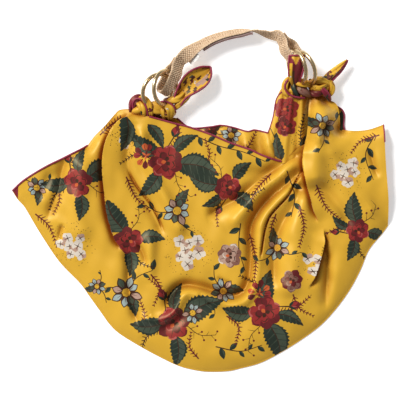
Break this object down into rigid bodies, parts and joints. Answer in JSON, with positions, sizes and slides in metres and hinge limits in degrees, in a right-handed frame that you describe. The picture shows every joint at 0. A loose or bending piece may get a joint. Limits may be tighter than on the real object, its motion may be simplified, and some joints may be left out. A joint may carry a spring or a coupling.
{
  "type": "scarf handbag",
  "caption": "Square satin scarf folded and knotted onto brass rings as a soft handbag, with a braided strap handle and leather grip, lying flat.",
  "frame": {"origin": "centre of the bounding box's bottom, on the surface that the bag lies on", "axes": "+X across the bag to the right as seen from its front, +Y up the bag from the folded bottom edge to the handle, +Z away from the surface"},
  "size_m": [0.4881, 0.445, 0.0459],
  "materials": {
    "satin": "satin with a soft sheen, printed with flowers and leaves on a golden yellow ground, dark red hem",
    "ring_metal": "pale antique brass, softly polished",
    "braid": "tan flat braid of thick matt cords",
    "grip_leather": "mauve brown leather with a dull sheen",
    "label_cloth": "plain white woven tape, blank"
  },
  "bodies": {
    "root": {"scarf": "satin", "ring_left_outer": "ring_metal", "ring_left_inner": "ring_metal", "ring_right_outer": "ring_metal", "ring_right_inner": "ring_metal", "handle_braid": "braid", "handle_grip": "grip_leather", "label": "label_cloth"}
  },
  "joints": []
}
